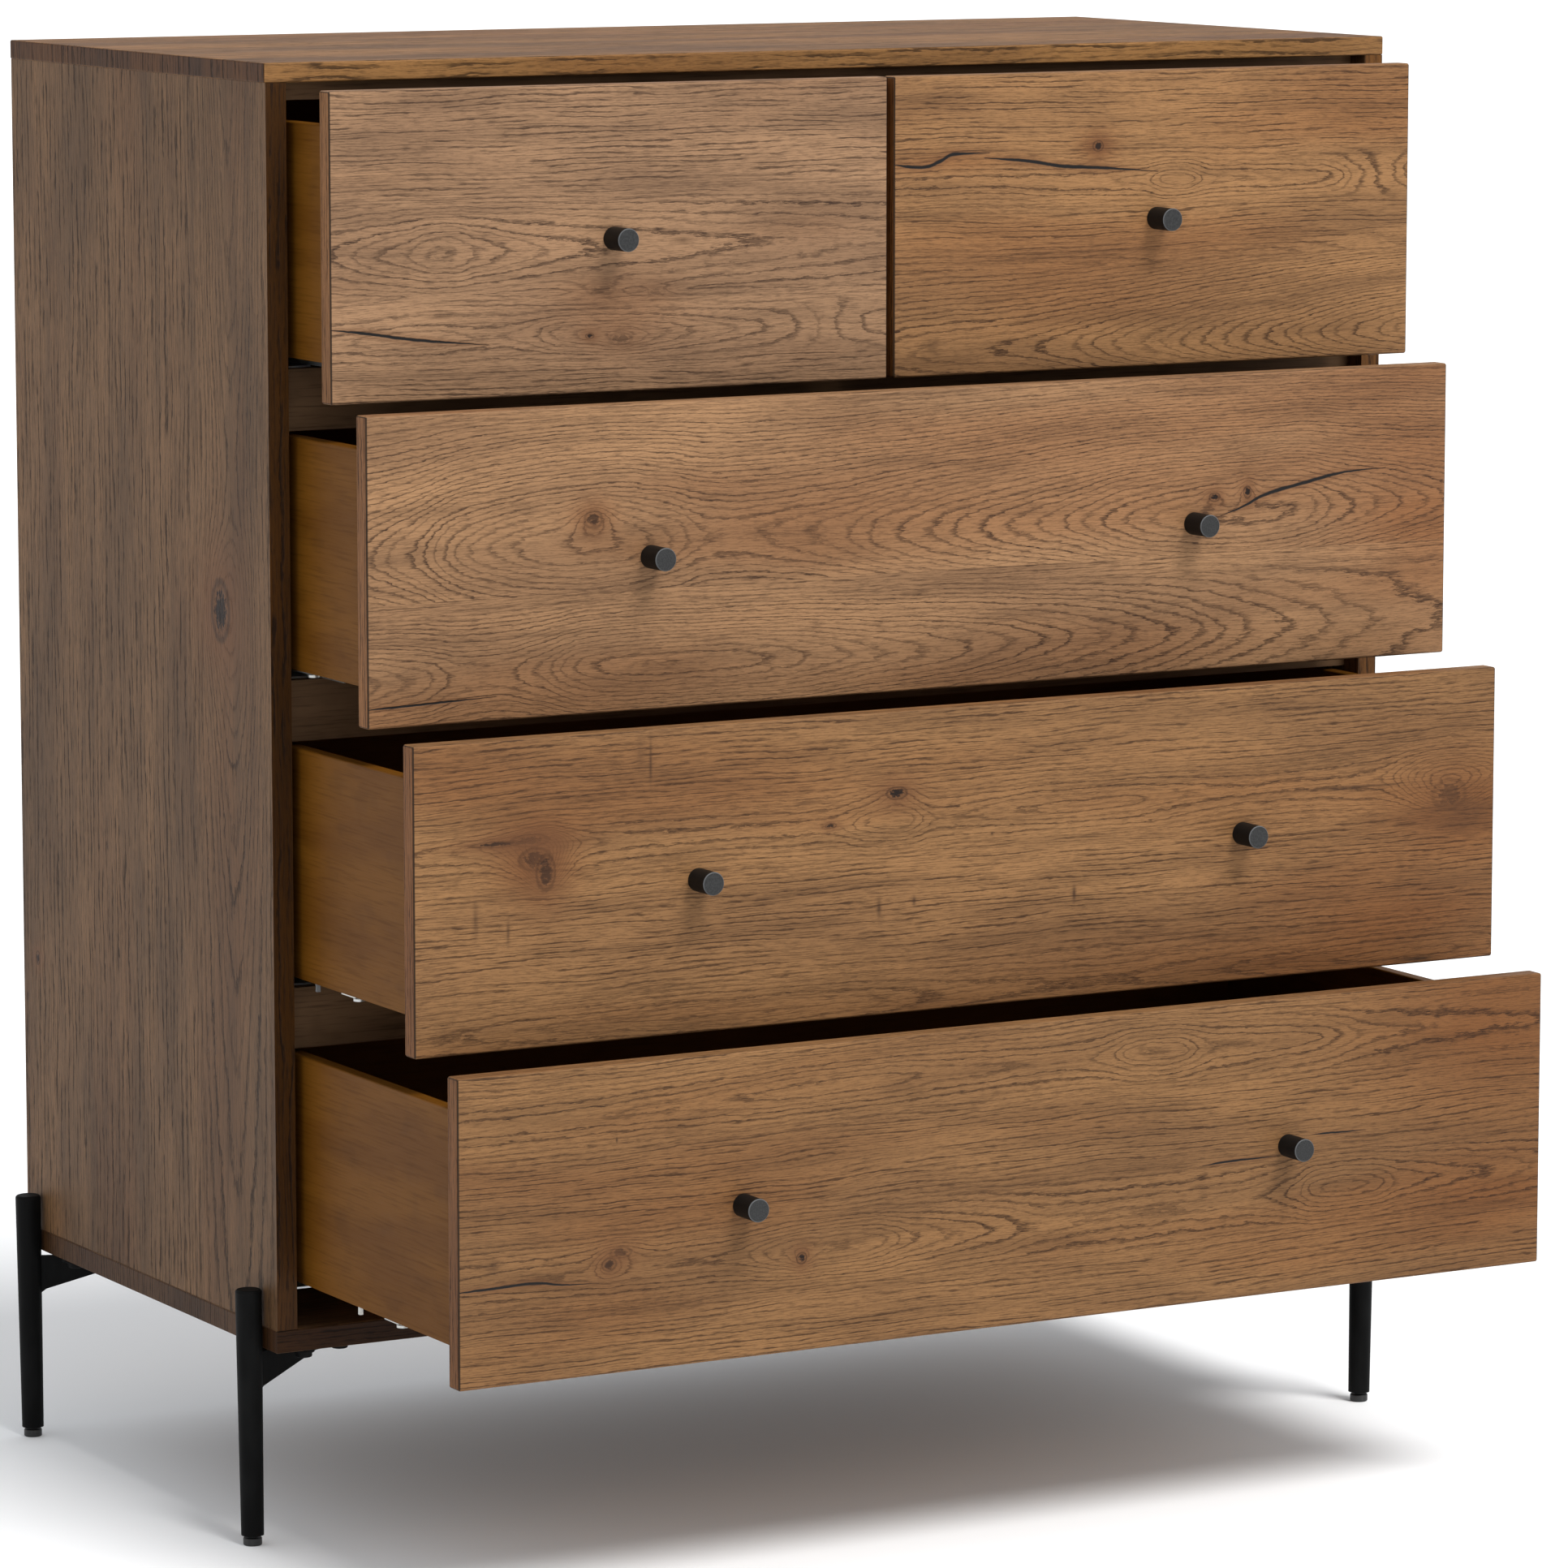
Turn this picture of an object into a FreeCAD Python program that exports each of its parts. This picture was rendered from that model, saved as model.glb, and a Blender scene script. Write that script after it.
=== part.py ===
"""Tall chest of five drawers on four steel legs, in millimetres, +Z up, drawers opening towards -Y.

Two half-width drawers sit over three full-width ones, all inset in the case and each stored partly open,
a little further at every row down. Everything is drawn in the chest's own coordinates: x from the middle
of the case, y from the case's front plane towards its back, z from the floor. At export it is shifted
along y, so that the origin is on the floor at the centre of the box round the whole chest.
"""

import FreeCAD, Part
import math
import os

Vector = FreeCAD.Vector

# Case
case_width = 1067.0
case_depth = 508.0
case_bottom = 164.0            # height of the case's underside over the floor
top_thickness = 16.0
bottom_thickness = 19.0
side_thickness = 18.0
side_inset = 1.0               # how far the side panels stand in from the ends of the top and bottom
opening_height = 1013.0        # clear height between the bottom board and the top board
board_round = 1.5
back_thickness = 6.0
back_inset = 3.0

# Rails between the side panels, and the partition between the two top drawers
rail_setback = 22.0
rail_thickness = 18.0
rail_height = 50.0
header_height = 15.0
rail_clearance = 3.0           # from a drawer box's top edge to the rail over it
partition_thickness = 18.0

# Drawer fronts
front_thickness = 18.0
front_gap = 4.0                # over, under and between the rows
front_side_gap = 2.5
front_pair_gap = 6.0           # between the two top fronts
front_round = 2.0

# Drawer boxes
box_drop = 27.5                # from a front's top edge down to the box's top edge
box_height = 189.0
box_length = 457.0
box_wall = 12.0
box_gap = 8.0                  # each side, to the panel that carries the slide
box_edge_round = 1.5
bottom_rise = 13.0             # from the box's lower edge to the underside of its bottom panel
bottom_panel = 6.0

# How far each drawer stands open as stored
top_open = 73.0
upper_open = 135.0
middle_open = 214.0
lower_open = 288.0

# Knobs and the screws that hold them
knob_diameter = 19.0
knob_length = 26.0
knob_chamfer = 0.7
knob_from_middle = 258.0
screw_diameter = 4.0
screw_clearance_hole = 4.6
screw_in_knob = 11.0
screw_head_diameter = 8.5
screw_head_height = 2.5

# Undermount slides: nested steel sections under each side of a drawer, centred slide_line from the panel
sheet = 1.5
slide_front = 33.0             # front end of every member, with the drawer closed
slide_length = 440.0
slide_line = 34.0
slide_play = 0.7               # between one section and the next
shelf_under_box = 10.25
flange_top = 25.0
rib_thickness = 3.0
rib_top = 8.5
middle_leg = -7.5
drawer_leg = -3.0

# Release lever and stop post under each box side, measured back from the drawer front
lever_start = 100.0
lever_length = 26.0
lever_width = 7.0
lever_thickness = 1.2
ring_outer = 5.0
ring_inner = 3.0
ring_thickness = 2.0
post_at = 171.0
post_size = 3.0
post_height = 6.5
trim_inset = 0.6               # lever and post, in from the box side's outer face

# Legs: a tapered tube beside the case, with a gusset and a plate welded to it
leg_inset = 29.0               # tube centre, in from the front and back planes
leg_top_radius = 11.0
leg_foot_radius = 9.4
leg_over_case = 50.0           # from the case's underside up to the tube's top
leg_wall = 2.0
leg_cap = 3.0
leg_cap_round = 2.5
leg_clearance = 0.2
plug_height = 25.0
bracket_angle = 22.5           # the gusset turns this far from the case's width towards its depth
gusset_thickness = 5.0
gusset_end = 96.0
gusset_nose = 5.0
gusset_drop = 29.0
weld_leg = 4.0
plate_thickness = 4.0
plate_start = 28.0
plate_end = 98.0
plate_half_width = 33.0
plate_corner = 6.0
bolt_rows = (40.0, 84.0)
bolt_offset = 24.0
bolt_diameter = 6.0
bolt_depth = 13.0
bolt_head_diameter = 14.0
bolt_head_height = 4.5
washer_diameter = 18.0
washer_thickness = 1.5

# Levelling glides
glide_radius = 7.75
glide_foot = 6.5
glide_gap = 2.0                # between the foot and the tube's end
glide_neck = 1.5
glide_neck_radius = 4.0
glide_round = 1.2
stem_radius = 3.0
stem_length = 22.0
stem_play = 0.05

# Worked out from the sizes above
half_width = case_width / 2
opening_bottom = case_bottom + bottom_thickness
opening_top = opening_bottom + opening_height
case_top = opening_top + top_thickness
panel_face = half_width - side_inset - side_thickness
row_pitch = (opening_height - front_gap) / 4
front_height = row_pitch - front_gap
rail_back = rail_setback + rail_thickness
tube_bottom = glide_foot + glide_gap
tube_height = case_bottom + leg_over_case - tube_bottom
y_centre = (case_depth - lower_open - knob_length) / 2


def box(x0, x1, y0, y1, z0, z1):
    """A board between two corners."""
    return Part.makeBox(x1 - x0, y1 - y0, z1 - z0, Vector(x0, y0, z0))


def rounded_board(x0, x1, y0, y1, z0, z1, radius):
    """A board with all its edges eased."""
    board = box(x0, x1, y0, y1, z0, z1)
    return board.makeFillet(radius, board.Edges)


def cylinder_along_y(x, y0, y1, z, radius):
    return Part.makeCylinder(radius, y1 - y0, Vector(x, y0, z), Vector(0, 1, 0))


def mirrored(shape, in_x, in_y):
    """The shape for another corner of the case."""
    if in_x:
        shape = shape.mirror(Vector(0, 0, 0), Vector(1, 0, 0))
    if in_y:
        shape = shape.mirror(Vector(0, case_depth / 2, 0), Vector(0, 1, 0))
    return shape


class Drawer:
    """One drawer's places in the case, as it is stored."""

    def __init__(self, name, row, left, right, opening, knobs):
        self.name = name
        self.left = left                  # inner faces of the two panels beside it
        self.right = right
        self.opening = opening
        self.knobs = knobs
        self.bottom = opening_bottom + front_gap + row * row_pitch
        self.top = self.bottom + front_height
        self.front = -opening             # outer face of the drawer front
        self.box_front = self.front + front_thickness
        self.box_back = self.box_front + box_length
        self.box_top = self.top - box_drop
        self.box_bottom = self.box_top - box_height
        self.knob_z = (self.bottom + self.top) / 2
        self.front_left = left + front_side_gap if left < -partition_thickness else front_pair_gap / 2
        self.front_right = right - front_side_gap if right > partition_thickness else -front_pair_gap / 2

    def walls(self):
        """Each panel face beside the drawer, with the direction from it towards the drawer."""
        return ((self.left, 1), (self.right, -1))


def drawer_plan():
    half = partition_thickness / 2
    pair = (-knob_from_middle, knob_from_middle)
    return (
        Drawer("top_left_drawer", 3, -panel_face, -half, top_open, (-knob_from_middle,)),
        Drawer("top_right_drawer", 3, half, panel_face, top_open, (knob_from_middle,)),
        Drawer("upper_drawer", 2, -panel_face, panel_face, upper_open, pair),
        Drawer("middle_drawer", 1, -panel_face, panel_face, middle_open, pair),
        Drawer("lower_drawer", 0, -panel_face, panel_face, lower_open, pair),
    )


# ---------------------------------------------------------------- case

def leg_frame(shape):
    """Moves a bracket piece, drawn along +X from the leg's axis, to the front left leg."""
    shape.rotate(Vector(0, 0, 0), Vector(0, 0, 1), bracket_angle)
    shape.translate(Vector(-half_width - leg_top_radius - leg_clearance, leg_inset, case_bottom))
    return shape


def bolt_places():
    return [(row, side * bolt_offset) for row in bolt_rows for side in (-1, 1)]


def bolt_holes():
    """Pilot holes of the front left bracket's bolts, in the bottom board."""
    holes = [Part.makeCylinder(bolt_diameter / 2, bolt_depth, Vector(x, y, 0)) for x, y in bolt_places()]
    return leg_frame(Part.makeCompound(holes))


def corners():
    """Name and mirroring of each leg."""
    return (
        ("front_left", False, False),
        ("front_right", True, False),
        ("back_left", False, True),
        ("back_right", True, True),
    )


def case_boards():
    top = rounded_board(-half_width, half_width, 0, case_depth, opening_top, case_top, board_round)
    bottom = rounded_board(-half_width, half_width, 0, case_depth, case_bottom, opening_bottom, board_round)
    for _, in_x, in_y in corners():
        bottom = bottom.cut(mirrored(bolt_holes(), in_x, in_y))
    outer = panel_face + side_thickness
    side = box(-outer, -panel_face, 0, case_depth, opening_bottom, opening_top)
    back_face = case_depth - back_inset
    back = box(-panel_face, panel_face, back_face - back_thickness, back_face, opening_bottom, opening_top)
    return {
        "top_board": top,
        "bottom_board": bottom,
        "side_panel_left": side,
        "side_panel_right": mirrored(side, True, False),
        "back_panel": back,
    }


def rail(y0, z0, z1):
    return box(-panel_face, panel_face, y0, y0 + rail_thickness, z0, z1)


def case_rails(drawers):
    """The rail over each full-width drawer, one under the top board, and one behind the top drawers."""
    parts = {"header_rail": rail(rail_setback, opening_top - header_height, opening_top)}
    for drawer in drawers[2:]:
        low = drawer.box_top + rail_clearance
        parts["rail_over_" + drawer.name] = rail(rail_setback, low, low + rail_height)
    low = drawers[2].box_top + rail_clearance
    rear = case_depth - back_inset - back_thickness - rail_thickness
    parts["rear_rail"] = rail(rear, low, low + rail_height)
    half = partition_thickness / 2
    parts["partition"] = box(-half, half, rail_back, rear, low, opening_top)
    return parts


# ---------------------------------------------------------------- legs

def taper_radius(z):
    """Outer radius of the tube at a height over its foot."""
    return leg_foot_radius + (leg_top_radius - leg_foot_radius) * z / tube_height


def tilted(shape):
    """Leans a cone drawn from the tube's foot, so that its side next to the case stands upright."""
    lean = math.degrees(math.atan((leg_top_radius - leg_foot_radius) / tube_height))
    shape.rotate(Vector(0, 0, 0), Vector(0, 1, 0), -lean)
    foot_x = -half_width - leg_clearance - leg_foot_radius
    shape.translate(Vector(foot_x, leg_inset, tube_bottom))
    return shape


def leg_tube():
    tube = Part.makeCone(leg_foot_radius, leg_top_radius, tube_height)
    rim = [edge for edge in tube.Edges if edge.BoundBox.ZMin > tube_height - 0.1]
    tube = tube.makeFillet(leg_cap_round, rim)
    hollow_height = tube_height - leg_cap
    hollow = Part.makeCone(leg_foot_radius - leg_wall, taper_radius(hollow_height) - leg_wall, hollow_height)
    return tilted(tube.cut(hollow))


def leg_plug():
    """The insert in the tube's foot that the glide screws into."""
    plug = Part.makeCone(leg_foot_radius - leg_wall, taper_radius(plug_height) - leg_wall, plug_height)
    return tilted(plug).cut(glide_axis_cylinder(stem_radius + stem_play, tube_bottom - 1, 2 * plug_height))


def glide_axis_cylinder(radius, z0, height):
    x = -half_width - leg_clearance - leg_foot_radius
    return Part.makeCylinder(radius, height, Vector(x, leg_inset, z0))


def gusset():
    """The upright triangle under the plate, its lower edge rising away from the tube."""
    start = leg_foot_radius
    lowest = -plate_thickness - gusset_drop
    outline = [
        (start, -plate_thickness),
        (gusset_end, -plate_thickness),
        (gusset_end, -plate_thickness - gusset_nose),
        (leg_top_radius + weld_leg, lowest),
        (start, lowest - weld_leg),
    ]
    points = [Vector(x, -gusset_thickness / 2, z) for x, z in outline]
    face = Part.Face(Part.makePolygon(points + points[:1]))
    return face.extrude(Vector(0, gusset_thickness, 0))


def plate():
    """The flat plate under the bottom board, with its four bolt holes."""
    flat = box(plate_start, plate_end, -plate_half_width, plate_half_width, -plate_thickness, 0)
    uprights = [edge for edge in flat.Edges if edge.BoundBox.ZLength > plate_thickness / 2]
    flat = flat.makeFillet(plate_corner, uprights)
    for x, y in bolt_places():
        hole = Part.makeCylinder(bolt_diameter / 2, plate_thickness, Vector(x, y, -plate_thickness))
        flat = flat.cut(hole)
    return flat


def leg():
    """Front left leg: the tube, the bracket welded to its side, and the plug in its foot."""
    solid_tube = tilted(Part.makeCone(leg_foot_radius, leg_top_radius, tube_height))
    bracket = leg_frame(gusset().fuse(plate()).removeSplitter()).cut(solid_tube)
    return Part.makeCompound([leg_tube(), bracket.Solids[0], leg_plug()])


def glide():
    """Levelling glide: foot, neck and threaded stem."""
    foot = glide_axis_cylinder(glide_radius, 0, glide_foot)
    foot = foot.makeFillet(glide_round, [edge for edge in foot.Edges if edge.BoundBox.ZLength < 0.1])
    neck = glide_axis_cylinder(glide_neck_radius, glide_foot, glide_neck)
    stem = glide_axis_cylinder(stem_radius, glide_foot, glide_gap + stem_length)
    return foot.fuse([neck, stem]).removeSplitter()


def bolt(x, y):
    """A flanged bolt from under the plate into the bottom board."""
    under = -plate_thickness
    shank = Part.makeCylinder(bolt_diameter / 2, plate_thickness + bolt_depth, Vector(x, y, under))
    washer = Part.makeCylinder(washer_diameter / 2, washer_thickness, Vector(x, y, under - washer_thickness))
    head_z = under - washer_thickness - bolt_head_height
    head = Part.makeCylinder(bolt_head_diameter / 2, bolt_head_height, Vector(x, y, head_z))
    rim = [edge for edge in head.Edges if edge.BoundBox.ZMax < head_z + 0.1]
    head = head.makeFillet(bolt_head_height / 3, rim)
    return shank.fuse([washer, head]).removeSplitter()


def legs():
    parts = {}
    bolts = []
    for name, in_x, in_y in corners():
        parts["leg_" + name] = mirrored(leg(), in_x, in_y)
        parts["glide_" + name] = mirrored(glide(), in_x, in_y)
        for x, y in bolt_places():
            bolts.append(mirrored(leg_frame(bolt(x, y)), in_x, in_y))
    parts["leg_bolts"] = Part.makeCompound(bolts)
    return parts


# ---------------------------------------------------------------- drawers

def knob_holes(drawer):
    depth = front_thickness + box_wall
    holes = []
    for x in drawer.knobs:
        radius = screw_clearance_hole / 2
        holes.append(cylinder_along_y(x, drawer.front, drawer.front + depth, drawer.knob_z, radius))
    return holes


def drawer_front(drawer):
    across_case = (drawer.front_left, drawer.front_right)
    board = rounded_board(
        *across_case, drawer.front, drawer.box_front, drawer.bottom, drawer.top, front_round
    )
    return board.cut(knob_holes(drawer))


def box_board(x0, x1, y0, y1, z0, z1):
    """A board of the drawer box, with its two long top edges eased."""
    board = box(x0, x1, y0, y1, z0, z1)
    along_x = x1 - x0 > y1 - y0
    long_top = []
    for edge in board.Edges:
        bounds = edge.BoundBox
        length = bounds.XLength if along_x else bounds.YLength
        if bounds.ZMin > z1 - 0.1 and length > box_wall * 2:
            long_top.append(edge)
    return board.makeFillet(box_edge_round, long_top)


def box_sides(drawer):
    sides = []
    for wall, inward in drawer.walls():
        faces = sorted((wall + inward * box_gap, wall + inward * (box_gap + box_wall)))
        sides.append(box_board(*faces, drawer.box_front, drawer.box_back, drawer.box_bottom, drawer.box_top))
    return Part.makeCompound(sides)


def inner_faces(drawer):
    reach = box_gap + box_wall
    return drawer.left + reach, drawer.right - reach


def box_ends(drawer):
    """The board behind the drawer front, and the back, which stands on the bottom panel."""
    x0, x1 = inner_faces(drawer)
    inner_front = box_board(
        x0, x1, drawer.box_front, drawer.box_front + box_wall, drawer.box_bottom, drawer.box_top
    )
    inner_front = inner_front.cut(knob_holes(drawer))
    floor = drawer.box_bottom + bottom_rise + bottom_panel
    back = box_board(x0, x1, drawer.box_back - box_wall, drawer.box_back, floor, drawer.box_top)
    return Part.makeCompound([inner_front.Solids[0], back])


def drawer_bottom(drawer):
    x0, x1 = inner_faces(drawer)
    low = drawer.box_bottom + bottom_rise
    return box(x0, x1, drawer.box_front + box_wall, drawer.box_back, low, low + bottom_panel)


def knobs(drawer):
    """Each knob is a plain cylinder with a bevelled face and a blind hole for its screw."""
    pieces = []
    radius = knob_diameter / 2
    for x in drawer.knobs:
        face = drawer.front - knob_length
        knob = cylinder_along_y(x, face, drawer.front, drawer.knob_z, radius)
        rim = [edge for edge in knob.Edges if edge.BoundBox.YMax < face + 0.1]
        knob = knob.makeChamfer(knob_chamfer, rim)
        deepest = drawer.front - screw_in_knob
        hole = cylinder_along_y(x, deepest, drawer.front, drawer.knob_z, screw_diameter / 2)
        pieces.append(knob.cut(hole))
    return Part.makeCompound(pieces)


def knob_screws(drawer):
    screws = []
    for x in drawer.knobs:
        head_y = drawer.box_front + box_wall
        shank = cylinder_along_y(x, drawer.front - screw_in_knob, head_y, drawer.knob_z, screw_diameter / 2)
        head = cylinder_along_y(x, head_y, head_y + screw_head_height, drawer.knob_z, screw_head_diameter / 2)
        screws.append(shank.fuse(head).removeSplitter())
    return screws


# ---------------------------------------------------------------- slides

def across(wall, inward, near, far):
    """The two x values of a piece that lies near to far from a panel's face, in order."""
    return sorted((wall + inward * near, wall + inward * far))


def channel(wall, inward, half_inside, y0, top, leg_end):
    """An upside-down U section of sheet steel over the slide's line."""
    outside = half_inside + sheet
    outer_x = across(wall, inward, slide_line - outside, slide_line + outside)
    outer = box(*outer_x, y0, y0 + slide_length, leg_end, top)
    hollow_x = across(wall, inward, slide_line - half_inside, slide_line + half_inside)
    return outer.cut(box(*hollow_x, y0, y0 + slide_length, leg_end, top - sheet))


def case_member(drawer, wall, inward):
    """The fixed section: a flange on the panel, a shelf under the box, and a rib for the rest to run on."""
    y0, y1 = slide_front, slide_front + slide_length
    low = drawer.box_bottom - shelf_under_box
    rib = slide_line + rib_thickness / 2
    flange = box(*across(wall, inward, 0, sheet), y0, y1, low, drawer.box_bottom + flange_top)
    shelf = box(*across(wall, inward, 0, rib), y0, y1, low, low + sheet)
    rib_x = across(wall, inward, rib - rib_thickness, rib)
    upright = box(*rib_x, y0, y1, low, drawer.box_bottom + rib_top)
    return flange.fuse([shelf, upright]).removeSplitter()


def middle_member(drawer, wall, inward):
    half_inside = rib_thickness / 2 + slide_play
    top = drawer.box_bottom + rib_top + slide_play + sheet
    start = slide_front - drawer.opening / 2
    return channel(wall, inward, half_inside, start, top, drawer.box_bottom + middle_leg)


def drawer_member(drawer, wall, inward):
    half_inside = rib_thickness / 2 + 2 * slide_play + sheet
    top = drawer.box_bottom + bottom_rise
    start = slide_front - drawer.opening
    return channel(wall, inward, half_inside, start, top, drawer.box_bottom + drawer_leg)


def release_lever(drawer, wall, inward):
    """A flat strip under the box side, with a finger ring at its front end."""
    near = box_gap + trim_inset
    y0 = drawer.box_front + lever_start
    z = drawer.box_bottom
    strip_x = across(wall, inward, near, near + lever_width)
    strip = box(*strip_x, y0, y0 + lever_length, z - lever_thickness, z)
    centre = Vector(sum(strip_x) / 2, y0, z - lever_thickness - ring_thickness)
    ring = Part.makeCylinder(ring_outer, ring_thickness, centre)
    ring = ring.cut(Part.makeCylinder(ring_inner, ring_thickness, centre))
    return strip.fuse(ring).removeSplitter()


def stop_post(drawer, wall, inward):
    near = box_gap + trim_inset
    y0 = drawer.box_front + post_at
    z = drawer.box_bottom
    return box(*across(wall, inward, near, near + post_size), y0, y0 + post_size, z - post_height, z)


def both_sides(drawer, *makers):
    return [make(drawer, wall, inward) for wall, inward in drawer.walls() for make in makers]


def drawer_parts(drawer):
    hardware = both_sides(drawer, drawer_member, release_lever, stop_post) + knob_screws(drawer)
    return {
        drawer.name + "_front": drawer_front(drawer),
        drawer.name + "_box_sides": box_sides(drawer),
        drawer.name + "_box_ends": box_ends(drawer),
        drawer.name + "_bottom": drawer_bottom(drawer),
        drawer.name + "_knobs": knobs(drawer),
        drawer.name + "_hardware": Part.makeCompound(hardware),
        drawer.name + "_slide_middle": Part.makeCompound(both_sides(drawer, middle_member)),
        drawer.name + "_slide_case": Part.makeCompound(both_sides(drawer, case_member)),
    }


def main():
    drawers = drawer_plan()
    parts = case_boards()
    parts.update(case_rails(drawers))
    parts.update(legs())
    for drawer in drawers:
        parts.update(drawer_parts(drawer))
    os.makedirs("parts", exist_ok=True)
    for name, shape in parts.items():
        shape.translate(Vector(0, -y_centre, 0))
        shape.exportStep(os.path.join("parts", name + ".step"))
        print(name, len(shape.Solids), shape.isValid(), round(shape.Volume / 1000, 1), "cm3")
    print(len(parts), "nodes; y_centre", y_centre)


main()
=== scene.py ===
"""The looks of the tall chest of drawers: oak veneer, stained drawer boxes, black steel, zinc slides.

Lengths are metres. Wood figure is worked out from two surface coordinates, u along the grain and v
across it, in the same frame as the CAD. The features of a drawer front (ovals, knots, smears, resin-filled
cracks) are placed in shares of its width and height, from its lower left corner.
"""

import math

import bpy
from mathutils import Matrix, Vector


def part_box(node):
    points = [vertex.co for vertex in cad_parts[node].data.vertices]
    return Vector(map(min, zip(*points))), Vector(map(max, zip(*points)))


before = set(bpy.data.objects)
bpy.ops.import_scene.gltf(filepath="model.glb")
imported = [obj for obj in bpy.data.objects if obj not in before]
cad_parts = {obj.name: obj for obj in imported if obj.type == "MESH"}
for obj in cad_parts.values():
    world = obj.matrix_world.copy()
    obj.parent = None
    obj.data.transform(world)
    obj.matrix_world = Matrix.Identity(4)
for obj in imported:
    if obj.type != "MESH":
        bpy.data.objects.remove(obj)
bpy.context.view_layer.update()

# ---------------------------------------------------------------- camera, floor, light

CAMERA_PLACE = (-3.0594, -5.4635, 1.4751)
CAMERA_YAW = 29.202            # degrees to the right of straight at the fronts
CAMERA_PITCH = -8.098
CAMERA_LENS = 170.29           # mm
SENSOR_WIDTH = 36.0            # mm
VIEW_LIMIT = 300.0             # beyond the far edge of the floor

FLOOR_SIZE = 160.0
FLOOR_WHITE = (0.940, 0.957, 0.98)
SKY_COLOUR = (0.97, 0.985, 1.0)
SKY_STRENGTH = 0.76
KEY_COLOUR = (1.0, 0.975, 0.945)
KEY_DIRECTION = (0.16, -0.52, 0.84)   # from the chest towards the lamp
KEY_STRENGTH = 2.55
KEY_ANGLE = 26.0               # degrees across: a large soft lamp


def make_camera():
    data = bpy.data.cameras.new("camera")
    data.sensor_width = SENSOR_WIDTH
    data.lens = CAMERA_LENS
    data.clip_end = VIEW_LIMIT
    camera = bpy.data.objects.new("camera", data)
    camera.location = CAMERA_PLACE
    camera.rotation_euler = (math.radians(90 + CAMERA_PITCH), 0, -math.radians(CAMERA_YAW))
    bpy.context.scene.collection.objects.link(camera)
    bpy.context.scene.camera = camera


def make_light():
    key = bpy.data.lights.new("key", "SUN")
    key.energy = KEY_STRENGTH
    key.angle = math.radians(KEY_ANGLE)
    key.color = KEY_COLOUR
    lamp = bpy.data.objects.new("key", key)
    direction = Vector(KEY_DIRECTION)
    lamp.rotation_euler = direction.to_track_quat("Z", "Y").to_euler()
    bpy.context.scene.collection.objects.link(lamp)
    world = bpy.data.worlds.new("studio")
    world.use_nodes = True
    background = world.node_tree.nodes["Background"]
    background.inputs["Color"].default_value = (*SKY_COLOUR, 1.0)
    background.inputs["Strength"].default_value = SKY_STRENGTH
    bpy.context.scene.world = world
    bpy.context.scene.view_settings.view_transform = "Standard"


# ---------------------------------------------------------------- shader arithmetic

class Field:
    """A number that varies over a surface: a shader socket that takes part in arithmetic."""

    def __init__(self, tree, socket):
        self.tree = tree
        self.socket = socket

    def __add__(self, other):
        return calc("ADD", self, other)

    def __radd__(self, other):
        return calc("ADD", other, self)

    def __sub__(self, other):
        return calc("SUBTRACT", self, other)

    def __rsub__(self, other):
        return calc("SUBTRACT", other, self)

    def __mul__(self, other):
        return calc("MULTIPLY", self, other)

    def __rmul__(self, other):
        return calc("MULTIPLY", other, self)

    def __truediv__(self, other):
        return calc("DIVIDE", self, other)

    def __neg__(self):
        return calc("MULTIPLY", self, -1.0)

    def __abs__(self):
        return calc("ABSOLUTE", self)


def put(tree, value, socket):
    if isinstance(value, Field):
        tree.links.new(value.socket, socket)
    else:
        socket.default_value = value


def calc(operation, *values):
    tree = next(value.tree for value in values if isinstance(value, Field))
    node = tree.nodes.new("ShaderNodeMath")
    node.operation = operation
    for value, socket in zip(values, node.inputs):
        put(tree, value, socket)
    return Field(tree, node.outputs[0])


def smooth(value, low, high):
    """0 below low, 1 above high, smooth between."""
    node = value.tree.nodes.new("ShaderNodeMapRange")
    node.interpolation_type = "SMOOTHSTEP"
    put(value.tree, value, node.inputs["Value"])
    node.inputs["From Min"].default_value = low
    node.inputs["From Max"].default_value = high
    return Field(value.tree, node.outputs["Result"])


def plateau(value, low, rise, fall, high):
    """0 up to low and from high, 1 from rise to fall, smooth between."""
    return smooth(value, low, rise) * (1.0 - smooth(value, fall, high))


def mixed(factor, first, second):
    """first where factor is 0, second where it is 1, both plain numbers or fields."""
    return first + factor * (second - first)


def largest(first, second):
    return calc("MAXIMUM", first, second)


def clipped(value):
    return calc("MINIMUM", largest(value, 0.0), 1.0)


def noise(u, v, w=0.0, detail=2.0, rough=0.5):
    """Smooth noise from 0 to 1, with its mean at 0.5. Each w is another noise."""
    place = u.tree.nodes.new("ShaderNodeCombineXYZ")
    for value, socket in zip((u, v, w), place.inputs):
        put(u.tree, value, socket)
    node = u.tree.nodes.new("ShaderNodeTexNoise")
    u.tree.links.new(place.outputs[0], node.inputs["Vector"])
    node.inputs["Scale"].default_value = 1.0
    node.inputs["Detail"].default_value = detail
    node.inputs["Roughness"].default_value = rough
    return Field(u.tree, node.outputs[0])


def sway(u, v, w, along, across, size, detail=2.0, rough=0.5):
    """Unevenness of this size about 0, with so many waves per metre along and across the grain."""
    return (noise(u * along, v * across, w, detail=detail, rough=rough) - 0.5) * size


def per_ring(value):
    """A random number from 0 to 1 for each whole number."""
    node = value.tree.nodes.new("ShaderNodeTexWhiteNoise")
    node.noise_dimensions = "1D"
    put(value.tree, calc("FLOOR", value), node.inputs["W"])
    return Field(value.tree, node.outputs["Value"])


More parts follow.
